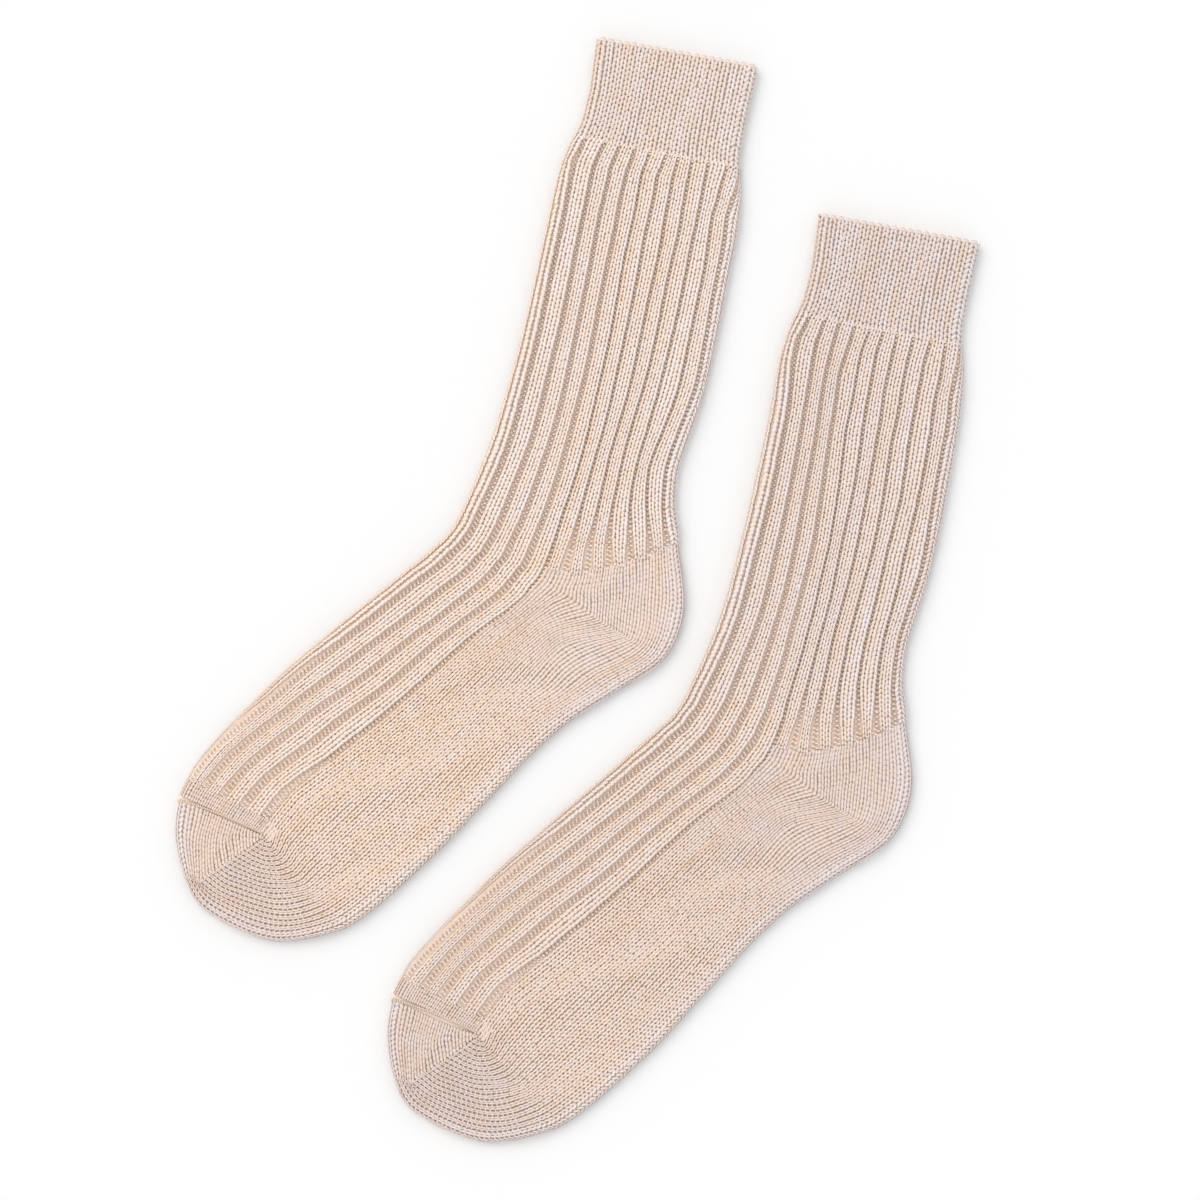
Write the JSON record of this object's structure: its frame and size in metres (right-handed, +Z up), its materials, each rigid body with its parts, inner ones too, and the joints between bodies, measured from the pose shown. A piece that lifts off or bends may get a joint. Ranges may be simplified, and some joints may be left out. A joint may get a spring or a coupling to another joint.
{
  "type": "pair of boot socks",
  "caption": "Pair of chunky oat knitted boot socks laid flat, ribbed leg and instep, plain cuff, heel, sole and toe.",
  "frame": {"origin": "on the surface the socks lie on, under the middle of the pair's box", "axes": "+Z up from the surface; +Y towards the cuffs; the toes point to -X"},
  "size_m": [0.379, 0.5206, 0.0071],
  "materials": {
    "ribbed_oat_knit": "matt heathered wool-blend rib knit",
    "plain_oat_knit": "matt heathered wool-blend plain knit"
  },
  "bodies": {
    "root": {"upper_sock_welt": "plain_oat_knit", "upper_sock_leg": "ribbed_oat_knit", "upper_sock_heel": "plain_oat_knit", "upper_sock_foot": "ribbed_oat_knit", "upper_sock_toe": "plain_oat_knit", "lower_sock_welt": "plain_oat_knit", "lower_sock_leg": "ribbed_oat_knit", "lower_sock_heel": "plain_oat_knit", "lower_sock_foot": "ribbed_oat_knit", "lower_sock_toe": "plain_oat_knit"}
  },
  "joints": []
}
